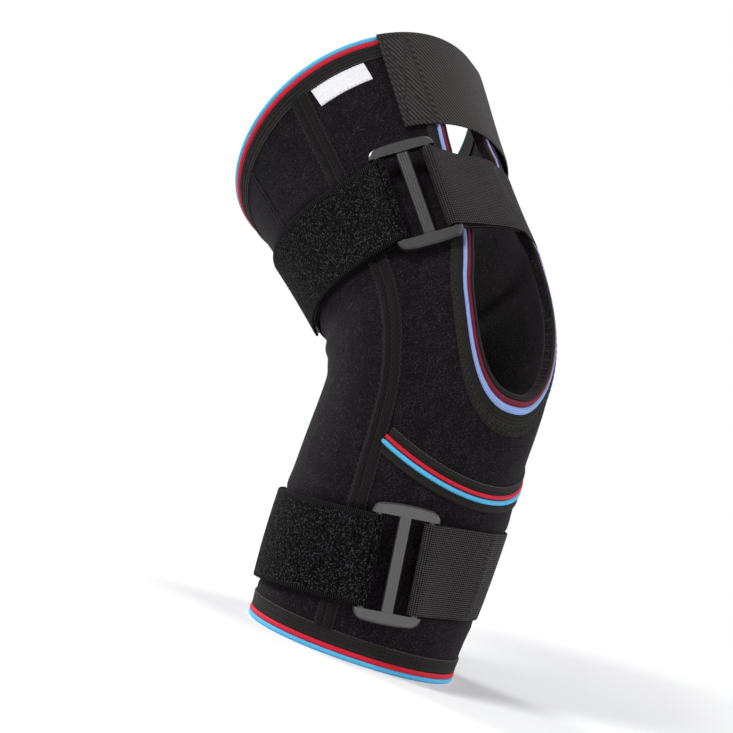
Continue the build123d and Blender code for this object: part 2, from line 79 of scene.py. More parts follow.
# the knee cap window: a superellipse below, and (station, half width) above its widest place
WINDOW_BOTTOM, WINDOW_WIDE = 152.6, 182.7
WINDOW_POWER = 2.45
WINDOW_SIDES = [(182.7, 30.0), (205.4, 23.4), (249.6, 16.8), (323.3, 8.7), (345, 6.6)]
TRIM_STATION, TRIM_SLOPE = 133.7, 0.446
STRAP_WIDTH, STRAP_THICK, HOOK_THICK = 50.0, 1.5, 0.8
BAR_RADIUS, BAR_CLEAR = 2.0, 0.3
RING = BAR_RADIUS + BAR_CLEAR + STRAP_THICK / 2  # from a bar's axis to a strap's middle
SIDES = ((-1, "lateral"), (1, "medial"))


# --- the leg's form ---
def smooth(knots, column=1):
    """Smooth curve through (place, value) knots."""
    place = np.array([k[0] for k in knots], float)
    value = np.array([k[column] for k in knots], float)
    slope = np.gradient(value, place)

    def at(where):
        where = np.clip(where, place[0], place[-1])
        i = np.clip(np.searchsorted(place, where) - 1, 0, len(place) - 2)
        run = place[i + 1] - place[i]
        t = (where - place[i]) / run
        rise = value[i] * (2 * t**3 - 3 * t**2 + 1) + value[i + 1] * (3 * t**2 - 2 * t**3)
        return rise + run * (slope[i] * (t**3 - 2 * t**2 + t) + slope[i + 1] * (t**3 - t**2))

    return at


half_depth, half_width = smooth(GIRTHS, 1), smooth(GIRTHS, 2)
channel_angle = smooth(CHANNEL)


def ease(t):
    t = np.clip(t, 0, 1)
    return t * t * (3 - 2 * t)


def spread(*values):
    return np.broadcast_arrays(*(np.asarray(value, float) for value in values))


def unit(v):
    return v / np.maximum(np.linalg.norm(v, axis=-1, keepdims=True), 1e-9)


def leg_axis(station):
    """x, z and lean of the leg's axis."""
    lean = np.clip(station - BEND_START, 0, BEND_END - BEND_START) / BEND_RADIUS
    over = np.maximum(station - BEND_END, 0)
    x = -BEND_RADIUS * (1 - np.cos(lean)) - over * np.sin(lean)
    z = np.minimum(station, BEND_START) + BEND_RADIUS * np.sin(lean) + over * np.cos(lean)
    return x, z, lean


def bare_skin(station, angle, height=0.0):
    """Points on the sleeve without its relief."""
    station, angle, height = spread(station, angle, height)
    x, z, lean = leg_axis(station)
    a, b = half_depth(station), half_width(station)
    c, s = np.cos(angle), np.sin(angle)
    long = np.hypot(b * c, a * s)
    forward = a * c + height * b * c / long
    side = b * s + height * a * s / long
    return np.stack([x + forward * np.cos(lean), side, z + forward * np.sin(lean)], -1)


def on_leg(points):
    """Station, angle and height of points."""
    x, y, z = points[..., 0], points[..., 1], points[..., 2]
    turn = np.arctan2(z - BEND_START, x + BEND_RADIUS)
    end_x, end_z, end_lean = leg_axis(BEND_END)
    past = (z - end_z) * math.cos(end_lean) - (x - end_x) * math.sin(end_lean)
    bent = np.where(turn < FLEXION, BEND_START + BEND_RADIUS * turn, BEND_END + past)
    station = np.where(z < BEND_START, z, bent)
    x0, z0, lean = leg_axis(station)
    forward = (x - x0) * np.cos(lean) + (z - z0) * np.sin(lean)
    a, b = half_depth(station), half_width(station)
    size = np.maximum(np.hypot(forward / a, y / b), 1e-6)
    return station, np.arctan2(y / b, forward / a), np.hypot(forward, y) * (1 - 1 / size)


def rounded(across, width, thick, corner):
    """Thickness over a strip's width, rounded at its edges."""
    inside = np.clip((width / 2 - np.abs(across)) / corner, 0.06, 1)
    return thick * np.sqrt(1 - (1 - inside) ** 2)


def edge_spread(width, corner, steps):
    """Places across a strip, closer together at its rounded edges."""
    middle = np.linspace(-width / 2 + corner, width / 2 - corner, steps + 1)
    rim = width / 2 - corner * (1 - np.sin(np.linspace(0, math.pi / 2, 5)[1:]))
    return np.concatenate([-rim[::-1], middle, rim])


# --- the two straps' planes, from the joints of their buckles ---
ACROSS = edge_spread(STRAP_WIDTH, 0.75, 18)


class Strap:
    """Plane of a strap round the leg: where its buckle's bars are, and places on the strap."""

    def __init__(self, name, stitching):
        swivel, peel = JOINTS[f"{name}_buckle_swivel"], JOINTS[f"{name}_strap_peel"]
        self.name, self.stitching = name, stitching
        self.bar = np.array(swivel["pos_m"], float) / MM
        up = np.array(swivel["axis"], float)
        self.up = unit(up) * math.copysign(1, up[2])
        x, z, lean = leg_axis(on_leg(self.bar[None])[0][0] + np.linspace(-60, 60, 4801))
        axis = np.stack([x, 0 * x, z], -1)
        i = int(np.argmin(np.abs((axis - self.bar) @ self.up)))
        self.origin = axis[i]
        self.ahead = self.in_plane(np.array([math.cos(lean[i]), 0, math.sin(lean[i])]))
        self.side = np.cross(self.up, self.ahead)
        edge = np.array(peel["pos_m"], float) / MM
        self.rear = edge - self.in_plane(edge - self.origin) * (BAR_RADIUS + BAR_CLEAR + STRAP_THICK)
        self.along = self.in_plane(self.bar - self.rear)
        self.out = np.cross(self.along, self.up)
        self.front_angle, self.rear_angle = self.angle_of(self.bar), self.angle_of(self.rear)

    def in_plane(self, way):
        """Unit direction of a way within the strap's plane."""
        return unit(way - self.up * (way @ self.up))

    def angle_of(self, point):
        offset = point - self.origin
        return math.degrees(math.atan2(offset @ self.side, offset @ self.ahead))

    def spot(self, angle, across, height):
        """Points at an angle in the strap's plane, across it, at a height over the sleeve."""
        angle, across, height = spread(angle, across, height)
        angle = angle[..., None] * DEGREE
        ray = np.cos(angle) * self.ahead + np.sin(angle) * self.side
        base = self.origin + across[..., None] * self.up
        reach = np.full(across.shape, 66.0)
        for _ in range(9):
            reach = reach + height - on_leg(base + reach[..., None] * ray)[2]
        return base + reach[..., None] * ray

    def at_bar(self, bar, along, out):
        """Row of the strap's middle points beside a bar, in shares of along and out."""
        return bar + (along * self.along + out * self.out) * RING + ACROSS[:, None] * self.up


UPPER, LOWER = Strap("upper", (7.0, 17.0)), Strap("lower", (14.0, 14.0))


def pressed(points):
    """Height of the sleeve's relief: pressed in under the straps, with soft folds elsewhere."""
    relief = np.zeros(points.shape[:-1])
    for strap in (UPPER, LOWER):
        away = np.abs((points - strap.bar) @ strap.up)
        under = 1 - ease((away - 23) / 5)
        beside = np.exp(-(((away - 30) / 4.5) ** 2))
        relief += 0.45 * beside - 0.9 * under
    station, angle, _ = on_leg(points)
    behind = ease((-np.cos(angle) - 0.1) / 0.9)
    fold = np.sin((station - 171) / 4.6 + 0.5 * np.sin(2 * angle)) * np.exp(-(((station - 172) / 24) ** 2))
    relief += 0.7 * behind * fold
    return relief + 0.3 * np.sin(station / 19 + 2.2 * np.cos(angle)) * np.sin(2.6 * angle + station / 47)


def skin(station, angle, height=0.0):
    """Points on the sleeve as it is worn, with its relief."""
    return bare_skin(station, angle, height + pressed(bare_skin(station, angle)))


# --- placing pieces on bodies ---
KNEE = np.array(JOINTS["knee_flexion"]["pos_m"], float)
KNEE_WAY = np.array([-math.sin(FLEXION / 2), 0, math.cos(FLEXION / 2)])
# two bodies, and where the bend between them starts and ends, below the upper strap, in metres
BEND = ("calf_section", "thigh_section", KNEE - KNEE_WAY * 0.046, KNEE + KNEE_WAY * 0.009)


def put(piece, body):
    """Mark edges sharper than 55 degrees and let a piece ride on a named body; for any other body, such as
    BEND, only bake its transform.
    """
    piece.data.set_sharp_from_angle(angle=55 * DEGREE)
    if isinstance(body, str):
        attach(piece, body)
    else:
        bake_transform(piece)
    return piece


# --- meshes ---
def new_object(name, data):
    piece = bpy.data.objects.new(name, data)
    bpy.context.scene.collection.objects.link(piece)
    return piece


def new_mesh(name, points, faces, uv, finish, body, welded=False):
    """A piece of a finish, put on its body; without a body it is put later."""
    mesh = bpy.data.meshes.new(name)
    mesh.from_pydata((points * MM).tolist(), [], faces)
    layer = mesh.uv_layers.new(name="cloth")
    corner = np.empty(len(mesh.loops), np.int32)
    mesh.loops.foreach_get("vertex_index", corner)
    layer.uv.foreach_set("vector", uv[corner].astype(np.float32).ravel())
    mesh.shade_smooth()
    mesh.materials.append(finish.material)
    if welded:
        work = bmesh.new()
        work.from_mesh(mesh)
        bmesh.ops.remove_doubles(work, verts=work.verts, dist=1e-6)
        bmesh.ops.recalc_face_normals(work, faces=work.faces)
        work.to_mesh(mesh)
        work.free()
    mesh.update()
    piece = new_object(name, mesh)
    return put(piece, body) if body else piece


def grid_faces(rows, columns, start=0, flip=False, closed=False):
    """Faces between rows of vertices; closed joins the last row to the first."""
    faces = []
    for i in range(rows if closed else rows - 1):
        here, there = start + i * columns, start + (i + 1) % rows * columns
        for j in range(columns - 1):
            face = (here + j, here + j + 1, there + j + 1, there + j)
            faces.append(face[::-1] if flip else face)
    return faces


def distances(points, axis):
    """Distance along a grid, from its start, averaged over the other direction."""
    step = np.linalg.norm(np.diff(points, axis=axis), axis=-1).mean(1 - axis)
    return np.concatenate([[0], np.cumsum(step)])


def laid_flat(grid):
    """Distances along and across a grid, for each of its points."""
    along, across = distances(grid, 0), distances(grid, 1)
    return np.stack(np.meshgrid(along, across, indexing="ij"), -1).reshape(-1, 2)


def slab(name, over, under, finish, body=BEND, closed=False):
    """Closed cloth between two grids of points, over its outer and under its inner face."""
    rows, columns = over.shape[:2]
    count = rows * columns
    faces = grid_faces(rows, columns, 0, True, closed) + grid_faces(rows, columns, count, False, closed)
    walls = [(np.arange(rows) * columns, False), (np.arange(rows) * columns + columns - 1, True)]
    if closed:
        walls = [(np.append(edge, edge[0]), outward) for edge, outward in walls]
    else:
        walls += [(np.arange(columns), True), (np.arange(columns) + count - columns, False)]
    for edge, outward in walls:
        for p, q in zip(edge[:-1].tolist(), edge[1:].tolist()):
            face = (p, q, q + count, p + count)
            faces.append(face if outward else face[::-1])
    points = np.concatenate([over.reshape(-1, 3), under.reshape(-1, 3)])
    return new_mesh(name, points, faces, np.tile(laid_flat(over), (2, 1)), finish, body)


def normals(grid):
    return unit(np.cross(np.gradient(grid, axis=0), np.gradient(grid, axis=1)))


class Line:
    """A line on the sleeve, of stations and angles, with places beside it."""

    def __init__(self, station, angle):
        self.station, self.angle = station, angle
        self.round = (half_depth(station) + half_width(station)) / 2
        run, turn = np.gradient(station), np.gradient(angle) * self.round
        size = np.hypot(run, turn)
        self.out_station, self.out_arc = turn / size, -run / size

    def lay(self, across, height):
        """Grid of points beside the line, at distances across it and heights over the sleeve."""
        across = np.atleast_1d(across)
        station = self.station[:, None] + self.out_station[:, None] * across
        angle = self.angle[:, None] + self.out_arc[:, None] / self.round[:, None] * across
        return skin(station, angle, height)


def tape(name, line, middle, width, thick, finish, body=BEND, corner=0.5, steps=6, low=0.1,
         extra=lambda across: 0, closed=False):
    """Strip of cloth beside a line. extra is added relief over its width."""
    across = edge_spread(width, corner, steps)
    rise = rounded(across, width, thick, corner) + extra(across)
    over, under = line.lay(middle + across, low + rise), line.lay(middle + across, low - 0.3)
    return slab(name, over, under, finish, body, closed)


def grooves(*places, depth=0.5, width=0.42):
    """Relief across a tape, drawn in where its stitch rows run."""
    return lambda across: -depth * sum(np.exp(-(((across - place) / width) ** 2)) for place in places)


def sweep(name, line, profile, finish, body=BEND, closed=False):
    """Strip of a closed profile of (across, height) points along a line."""
    profile = np.array(profile + profile[:1], float)
    grid = line.lay(profile[:, 0], profile[:, 1])
    rows, columns = grid.shape[:2]
    faces = grid_faces(rows, columns, closed=closed)
    if not closed:
        faces.append(tuple(range(columns - 1))[::-1])
        faces.append(tuple(range((rows - 1) * columns, rows * columns - 1)))
    return new_mesh(name, grid.reshape(-1, 3), faces, laid_flat(grid), finish, body, True)


def join(pieces, name):
    """One object from several meshes."""
    work = bmesh.new()
    for piece in pieces:
        work.from_mesh(piece.data)
    work.to_mesh(pieces[0].data)
    work.free()
    for piece in pieces[1:]:
        bpy.data.objects.remove(piece)
    pieces[0].name = name
    return pieces[0]


# --- stitching ---
ALONG_STITCH = np.linspace(0, 1, 5)
STITCH_RISE = (np.sin(math.pi * ALONG_STITCH) ** 0.6)[None, :, None]


def threads(name, paths, radius, finish, body=BEND):
    """Tubes along many short paths of points, in one mesh. paths is (n, points, 3)."""
    n, k = paths.shape[:2]
    ring = 6
    run = unit(np.gradient(paths, axis=1))
    one = unit(np.cross(run, (0.31, 0.17, 0.93)))
    two = np.cross(run, one)
    turn = np.linspace(0, 2 * math.pi, ring, endpoint=False)[:, None]
    taper = np.sin(np.linspace(0.25, math.pi - 0.25, k)) ** 0.5
    size = (radius * taper)[:, None, None]
    points = paths[:, :, None] + size * (one[:, :, None] * np.cos(turn) + two[:, :, None] * np.sin(turn))
    faces = []
    for start in range(0, n * k * ring, k * ring):
        end = start + (k - 1) * ring
        for p in range(start, end, ring):
            for r in range(ring):
                after = (r + 1) % ring
                faces.append((p + r, p + r + ring, p + after + ring, p + after))
        faces.append(tuple(range(start, start + ring)))
        faces.append(tuple(range(end, end + ring))[::-1])
    points = points.reshape(-1, 3)
    return new_mesh(name, points, faces, np.zeros((len(points), 2)), finish, body)


def at_places(where, place, row):
    """Points at distances along a row, whose own points lie at the distances in place."""
    return np.stack([np.interp(where, place, row[:, k]) for k in range(3)], -1)


def along_line(points, pitch, length, lift):
    """Short stitches along a row of surface points: each rises out of the cloth and dips back."""
    place = distances(points[:, None], 0)
    count = max(int(place[-1] / pitch), 1)
    start = (np.arange(count) + 0.5 * (1 - length / pitch)) * (place[-1] / count)
    where = start[:, None] + ALONG_STITCH * length
    return at_places(where, place, points) + at_places(where, place, lift) * STITCH_RISE


def stitch_row(name, line, across, height, finish, body=BEND, pitch=2.9, length=2.1, radius=0.22):
    """Rows of stitches beside a line, one at each place across it."""
    paths = []
    for place in np.atleast_1d(across):
        low, high = (line.lay(place, height + lift)[:, 0] for lift in (-0.1, 0.32))
        paths.append(along_line(low, pitch, length, high - low))
    return threads(name, np.concatenate(paths), radius, finish, body)


def zigzag(name, line, across, width, height, finish, pitch, radius=0.17):
    """Zigzag stitches beside a line: each leg is one thread across the row."""
    base, left, right, top = (
        line.lay(across + shift, height + lift)[:, 0]
        for shift, lift in ((0, 0), (-width / 2, 0), (width / 2, 0), (0, 0.3))
    )
    place = distances(base[:, None], 0)
    count = int(place[-1] / pitch)
    at = np.linspace(0, place[-1], count + 1)
    left, right, up = (at_places(at, place, row) for row in (left, right, top - base))
    odd = (np.arange(count) % 2 == 1)[:, None]
    start, end = np.where(odd, left[:-1], right[:-1]), np.where(odd, right[1:], left[1:])
    paths = start[:, None] + (end - start)[:, None] * ALONG_STITCH[:, None] + up[:-1, None] * STITCH_RISE
    return threads(name, paths, radius, finish)


# --- materials ---
def add_node(tree, kind, *values, out=0, **settings):
    """Output of a new node, whose first inputs are linked or set to the values."""
    node = tree.nodes.new(kind)
    for key, value in settings.items():
        setattr(node, key, value)
    for i, value in enumerate(values):
        if isinstance(value, bpy.types.NodeSocket):
            tree.links.new(value, node.inputs[i])
        else:
            node.inputs[i].default_value = value
    return node.outputs[out]


class Finish:
    """A Principled material with procedural detail."""

    def __init__(self, name, slot, gloss=0.5, sheen=(0, 0.5), **sockets):
        self.slot = slot
        self.material = bpy.data.materials.new(name)
        self.material.use_nodes = True
        self.tree = self.material.node_tree
        self.shader = self.tree.nodes["Principled BSDF"]
        sockets.update(Specular_IOR_Level=gloss, Sheen_Weight=sheen[0], Sheen_Roughness=sheen[1])
        for key, value in sockets.items():
            self.shader.inputs[key.replace("_", " ")].default_value = value

    def node(self, kind, *values, **settings):
        return add_node(self.tree, kind, *values, **settings)

    def math(self, operation, *values):
        return self.node("ShaderNodeMath", *values, operation=operation)

    def times(self, first, second):
        return self.math("MULTIPLY", first, second)

    def fit(self, value, gain, base):
        return self.math("MULTIPLY_ADD", value, gain, base)

    def cloth(self):
        """Place along and across the cloth, in millimetres."""
        along = self.node("ShaderNodeSeparateXYZ", self.node("ShaderNodeUVMap", uv_map="cloth"))
        return along, along.node.outputs[1]

    def texture(self, kind, out, **sockets):
        """Texture over the object, in millimetres."""
        metres = self.node("ShaderNodeTexCoord", out=3)
        place = self.node("ShaderNodeVectorMath", metres, (1 / MM,) * 3, operation="MULTIPLY")
        node = self.tree.nodes.new(kind)
        self.tree.links.new(place, node.inputs["Vector"])
        for key, value in sockets.items():
            node.inputs[key].default_value = value
        return node.outputs[out]

    def noise(self, scale, detail=2.0, rough=0.6):
        return self.texture("ShaderNodeTexNoise", 0, Scale=scale, Detail=detail, Roughness=rough)

    def wave(self, value, pitch, shift=0.0):
        """0 to 1 along a value, once each pitch."""
        turn = self.fit(value, 2 * math.pi / pitch, shift)
        return self.fit(self.math("SINE", turn), 0.5, 0.5)

    def colour(self, value, *stops):
        """Colour by a value: stops of (value, red, green, blue)."""
        node = self.tree.nodes.new("ShaderNodeValToRGB")
        self.tree.links.new(value, node.inputs[0])
        ramp = node.color_ramp.elements
        for i, (where, *tone) in enumerate(stops):
            stop = ramp[i] if i < 2 else ramp.new(where)
            stop.position = where
            stop.color = (*tone, 1)
        self.tree.links.new(node.outputs[0], self.shader.inputs["Base Color"])

    def bump(self, height, depth, strength=1.0):
        """Relief from a height of 0 to 1, that many millimetres deep."""
        node = self.tree.nodes.new("ShaderNodeBump")
        node.inputs["Strength"].default_value = strength
        node.inputs["Distance"].default_value = depth * MM
        self.tree.links.new(height, node.inputs["Height"])
        self.tree.links.new(node.outputs[0], self.shader.inputs["Normal"])

    def roughness(self, value, low, high):
        self.tree.links.new(self.fit(value, high - low, low), self.shader.inputs["Roughness"])

    def surface(self, value, rough, depth, *stops, strength=1.0):
        """Colour, roughness from low to high, and relief, all by one value."""
        self.colour(value, *stops)
        self.roughness(value, *rough)
        if depth:
            self.bump(value, depth, strength)
        return self


def neoprene_finish():
    """Black brushed loop jersey over foam: fine purple-grey specks and a soft sheen."""
    f = Finish("black neoprene", "neoprene", 0.06, (0.03, 0.4),
               Sheen_Tint=(0.85, 0.76, 0.9, 1))
    fine, coarse = f.noise(1.15, 3.0, 0.78), f.noise(0.11)
    speck = f.fit(coarse, 0.16, f.math("SUBTRACT", fine, 0.08))
    f.colour(speck, (0.38, 0.0026, 0.002, 0.0025), (0.54, 0.0085, 0.0066, 0.0082),
             (0.72, 0.038, 0.031, 0.037))
    f.roughness(fine, 0.98, 0.74)
    f.bump(fine, 0.22, 0.8)
    return f


def tape_finish(name, dark, light, pitch=1.0, gloss=0.2, slot="binding_tape"):
    """Knitted binding tape: ribs along it, of slanted stitches."""
    f = Finish(name, slot, gloss, (0.02, 0.4))
    along, across = f.cloth()
    rib = f.wave(across, pitch)
    loop = f.wave(f.fit(f.math("ABSOLUTE", f.math("SUBTRACT", rib, 0.5)), 0.9, along), 0.85)
    knit = f.times(f.fit(loop, 0.5, 0.5), f.fit(rib, 0.6, 0.4))
    knit = f.fit(f.noise(1.1), 0.5, f.times(knit, 0.65))
    return f.surface(knit, (0.85, 0.6), 0.24, (0.12, *dark), (0.85, *light), strength=0.9)


def webbing_finish():
    """Charcoal basket-weave webbing: short floats in pairs, over fine threads."""
    f = Finish("woven webbing", "webbing", 0.06, (0.008, 0.4))
    along, across = f.cloth()
    check = f.times(f.fit(f.wave(across, 2.3), 2, -1), f.fit(f.wave(along, 2.8, 0.6), 2, -1))
    floats = f.math("SMOOTH_MIN", f.fit(f.math("ABSOLUTE", check), 0.9, 0.1), 1.0, 0.2)
    thread = f.times(f.wave(across, 0.575), f.fit(f.wave(along, 0.7), 0.5, 0.5))
    height = f.fit(thread, 0.15, f.times(floats, 0.85))
    height = f.fit(f.noise(0.9), 0.35, f.times(height, 0.8))
    return f.surface(height, (0.9, 0.55), 0.5, (0.25, 0.0012, 0.0011, 0.0011), (0.55, 0.013, 0.0116, 0.0115),
                     (0.88, 0.075, 0.069, 0.067))


def loop_finish():
    """Deep black loop pile with painted highlights: bright specks in its colour where the curls would catch
    the light, and a ribbed selvedge along both edges.
    """
    f = Finish("loop pile", "loop_pile", 0.04)
    along, across = f.cloth()
    # bright specks at the Voronoi cells are painted highlights on the curls, put into the base colour
    curl_glint = f.math("SUBTRACT", 1.0, f.texture("ShaderNodeTexVoronoi", "Distance", Scale=0.80))
    pile = f.times(f.fit(curl_glint, 0.6, 0.4), f.noise(1.05, 2.0, 0.7))
    rim = f.math("MINIMUM", across, f.math("SUBTRACT", STRAP_WIDTH, across))
    edge = f.math("LESS_THAN", rim, 2.6)
    rib = f.fit(f.wave(along, 1.4), 0.22, 0.22)
    both = f.math("ADD", f.times(edge, rib), f.times(f.math("SUBTRACT", 1.0, edge), pile))
    # the lowest stops are the pile's own black; the top stop is the painted highlight on the curls
    return f.surface(both, (0.95, 0.5), 0.8, (0.28, 0.0004, 0.0004, 0.0005), (0.39, 0.0034, 0.0034, 0.0038),
                     (0.52, 0.042, 0.042, 0.045))


def hook_finish():
    """Hook tape: a dense field of short stiff hooks."""
    f = Finish("hook tape", "hook_tape", 0.4)
    along, across = f.cloth()
    field = f.times(f.wave(along, 1.1), f.wave(across, 1.3))
    return f.surface(field, (0.8, 0.45), 0.7, (0.1, 0.004, 0.004, 0.004), (0.9, 0.045, 0.045, 0.045))


def twill_finish():
    """Grey twill closure strap: slanted ribs of fine threads."""
    f = Finish("grey twill", "twill", 0.07, (0.015, 0.35))
    along, across = f.cloth()
    rib, thread = f.wave(f.fit(across, 0.62, along), 2.6), f.wave(across, 1.3)
    height = f.fit(thread, 0.16, f.times(rib, 0.66))
    height = f.fit(f.noise(1.2, 3.0), 0.25, height)
    return f.surface(height, (0.8, 0.5), 0.3, (0.15, 0.0085, 0.0075, 0.0075), (0.9, 0.054, 0.047, 0.047))


def plastic_finish():
    """Satin black acetal, with a fine moulded grain and rubbed high spots."""
    f = Finish("buckle plastic", "buckle_plastic", 0.35, Coat_Weight=0.35, Coat_Roughness=0.12)
    f.bump(f.noise(2.6, 3.0), 0.05, 0.5)
    return f.surface(f.noise(0.18, 3.0), (0.24, 0.38), 0, (0.3, 0.0050, 0.0049, 0.0048),
                     (0.75, 0.0125, 0.012, 0.0118))


def label_finish():
    """Blank white woven label: fine satin ribs."""
    f = Finish("blank label", "label_white", 0.35, (0.1, 0.5))
    along, across = f.cloth()
    weave = f.times(f.wave(across, 0.35), f.fit(f.wave(along, 0.5), 0.4, 0.6))
    weave = f.fit(f.noise(0.5), 0.4, f.times(weave, 0.6))
    return f.surface(weave, (0.7, 0.45), 0.08, (0.1, 0.72, 0.70, 0.74), (0.8, 0.86, 0.85, 0.88))


def thread_finish(name, tone, slot="binding_tape"):
    """Sewing thread: slightly shiny, a little uneven along its length."""
    f = Finish(name, slot, 0.3)
    dark, light = ([share * c for c in tone] for share in (0.55, 1.35))
    return f.surface(f.noise(2.2), (0.75, 0.45), 0.08, (0.3, *dark), (0.75, *light))


def steel_finish():
    """Bright rolled spring steel, brushed along the stay."""
    f = Finish("spring steel", "spring_steel", Metallic=1.0)
    return f.surface(f.wave(f.cloth()[1], 0.21), (0.28, 0.4), 0, (0, 0.42, 0.42, 0.43), (1, 0.6, 0.6, 0.61))


def cap_finish():
    """Black moulded stay caps, slightly mottled."""
    f = Finish("stay cap", "stay_cap")
    return f.surface(f.noise(0.6), (0.4, 0.6), 0, (0.3, 0.010, 0.010, 0.010), (0.8, 0.022, 0.022, 0.022))


NEOPRENE_CLOTH = neoprene_finish()
BLACK_TAPE = tape_finish("black binding tape", (0.0016, 0.0015, 0.0014), (0.025, 0.0235, 0.0222), 1.35, 0.05)
CHANNEL_TAPE = tape_finish("channel tape", (0.0024, 0.0021, 0.0023), (0.0155, 0.0138, 0.015), 1.3, 0.03,
                           "channel_tape")
RED_TAPE = tape_finish("red piping tape", (0.30, 0.003, 0.016), (0.72, 0.014, 0.044))
BLUE_TAPE = tape_finish("blue piping tape", (0.040, 0.26, 0.50), (0.11, 0.54, 0.84))
PALE_BLUE_TAPE = tape_finish("pale blue piping tape", (0.12, 0.20, 0.46), (0.32, 0.47, 0.82))
DARK_RED_TAPE = tape_finish("dark red piping tape", (0.045, 0.002, 0.008), (0.20, 0.010, 0.030))
WEBBING = webbing_finish()
LOOP_PILE = loop_finish()
HOOKS = hook_finish()
TWILL = twill_finish()
PLASTIC = plastic_finish()
LABEL = label_finish()
CHARCOAL_THREAD = thread_finish("charcoal thread", (0.020, 0.019, 0.018), "channel_tape")
BLACK_THREAD = thread_finish("black thread", (0.0024, 0.0024, 0.0022))
GREY_THREAD = thread_finish("grey thread", (0.13, 0.13, 0.13))
WHITE_THREAD = thread_finish("white thread", (0.55, 0.54, 0.57), "label_white")
STEEL = steel_finish()
CAP = cap_finish()


def top_station(angle):
    return TOP + TOP_RISE * np.cos(angle)


def window_outline(steps=26):
    """Stations and half angles of the window's edge, from its lowest place to the top rim."""
    t = np.linspace(0, math.pi / 2, steps)
    tall, wide = WINDOW_WIDE - WINDOW_BOTTOM, WINDOW_SIDES[0][1]
    low = WINDOW_WIDE - tall * np.abs(np.cos(t)) ** (2 / WINDOW_POWER)
    low[-1] = WINDOW_WIDE
    half_low = wide * np.sin(t) ** (2 / WINDOW_POWER)
    high = np.linspace(WINDOW_WIDE, TOP + TOP_RISE, 40)[1:]
    half_high = smooth([(150, wide)] + WINDOW_SIDES)(high)
    blend = ease((high - WINDOW_WIDE) / 6)
    half_high = half_high * blend + wide * (1 - blend)
    station = np.concatenate([low, high])
    half = np.concatenate([half_low, half_high])
    return station, np.arcsin(np.clip(half / half_width(station), 0, 1))


def to_rim(station, angle, highest):
    """Stations above the window's widest place, stretched so that the highest meets the top rim."""
    stretch = (top_station(angle) - EDGE - WINDOW_WIDE) / (highest - WINDOW_WIDE)
    place = np.repeat(station[:, None], angle.shape[1], 1)
    return np.where(place > WINDOW_WIDE, WINDOW_WIDE + (place - WINDOW_WIDE) * stretch, place)


def front_sleeve():
    """Front of the sleeve between the channels, open round the knee cap up to the top rim."""
    edge_station, edge_angle = window_outline()
    low = np.linspace(EDGE, WINDOW_BOTTOM, 40)[:-1]
    station = np.concatenate([low, edge_station])
    opened = np.concatenate([0 * low, edge_angle])
    side = np.radians(channel_angle(station))
    medial = opened[:, None] + (side - opened)[:, None] * np.linspace(0, 1, 34)
    angle = np.concatenate([-medial[:, ::-1], medial], 1)
    place = to_rim(station, angle, TOP + TOP_RISE)
    rows, columns = angle.shape
    half, count = columns // 2, rows * columns
    faces = grid_faces(rows, columns, 0, True) + grid_faces(rows, columns, count)
    faces = [face for face in faces if min(face) % columns != half - 1]
    walls, opening = [], len(low)
    edges = ((0, 0, False), (0, columns - 1, True), (opening, half - 1, True), (opening, half, False))
    for row, column, outward in edges:
        first = row * columns + column
        walls += [(p, p + columns, outward) for p in range(first, count - columns, columns)]
    for first, outward in ((0, True), (count - columns, False)):
        walls += [(first + j, first + j + 1, outward) for j in range(columns - 1) if j != half - 1]
    for p, q, outward in walls:
        face = (p, p + count, q + count, q)
        faces.append(face[::-1] if outward else face)
    grids = [skin(place, angle, height).reshape(-1, 3) for height in (0.0, -NEOPRENE)]
    uv = np.stack([place.ravel(), (angle * half_width(place)).ravel()], -1)
    points, uv = np.concatenate(grids), np.tile(uv, (2, 1))
    return new_mesh("sleeve_front", points, faces, uv, NEOPRENE_CLOTH, BEND, True)


def back_sleeve():
    """Back of the sleeve, from one channel round to the other."""
    station = np.linspace(EDGE, TOP, 120)
    side = np.radians(channel_angle(station))
    angle = side[:, None] + (2 * math.pi - 2 * side)[:, None] * np.linspace(0, 1, 96)
    place = to_rim(station, angle, TOP)
    return slab("sleeve_back", skin(place, angle), skin(place, angle, -NEOPRENE), NEOPRENE_CLOTH)


def sleeve():
    front, back = front_sleeve(), back_sleeve()
    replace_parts(front, "calf_front_panel", "knee_base_panel", "knee_front_panel",
                *(f"thigh_front_panel_{name}" for _, name in SIDES))
    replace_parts(back, "calf_back_panel", "popliteal_panel",
                *(f"thigh_side_panel_{name}" for _, name in SIDES), "thigh_back_panel")


def rim_binding(rim, body, ring, sewn, way, lip, thread):
    """Tapes folded over a rim, with a lining and stitches. A closed ring ends before its start."""
    closed = sewn is not ring
    wrap = [(2.9, 0.1), (2.6, 1.0), (1.8, 1.45), (0.9, 1.3), (0.3, 0.8), (lip, 0.0), (lip, INSIDE + 0.9),
            (0.4, INSIDE + 0.3), (1.4, INSIDE), (1.4, INSIDE + 0.5), (EDGE, -NEOPRENE + 0.1), (EDGE, -0.1)]
    lining = [(EDGE, INSIDE), (13.4, INSIDE), (13.4, INSIDE + 0.8), (EDGE, INSIDE + 0.8)]
    wrap, lining = ([(way * across, height) for across, height in points] for points in (wrap, lining))
    blue = sweep(f"{rim}_blue_stripe", ring, wrap, BLUE_TAPE, body, closed)
    red = tape(f"{rim}_red_stripe", ring, way * 4.25, 2.9, 1.35, RED_TAPE, body, 1.1, 4, closed=closed)
    black = tape(f"{rim}_binding_tape", ring, way * 9.75, 8.1, 0.9, BLACK_TAPE, body, 0.5, 26,
                 extra=grooves(-1.15, 1.15), closed=closed)
    inner = sweep(f"{rim}_binding_lining", ring, lining, BLACK_TAPE, body, closed)
    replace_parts(black, f"{rim}_binding")
    stitch_row(f"{rim}_binding_stitches", sewn, (way * 8.6, way * 10.9), 0.5, BLACK_THREAD, body)
    stitch_row(f"{rim}_binding_edge_thread", sewn, way * thread, 0.35, GREY_THREAD, body, 1.7, 1.6, 0.13)


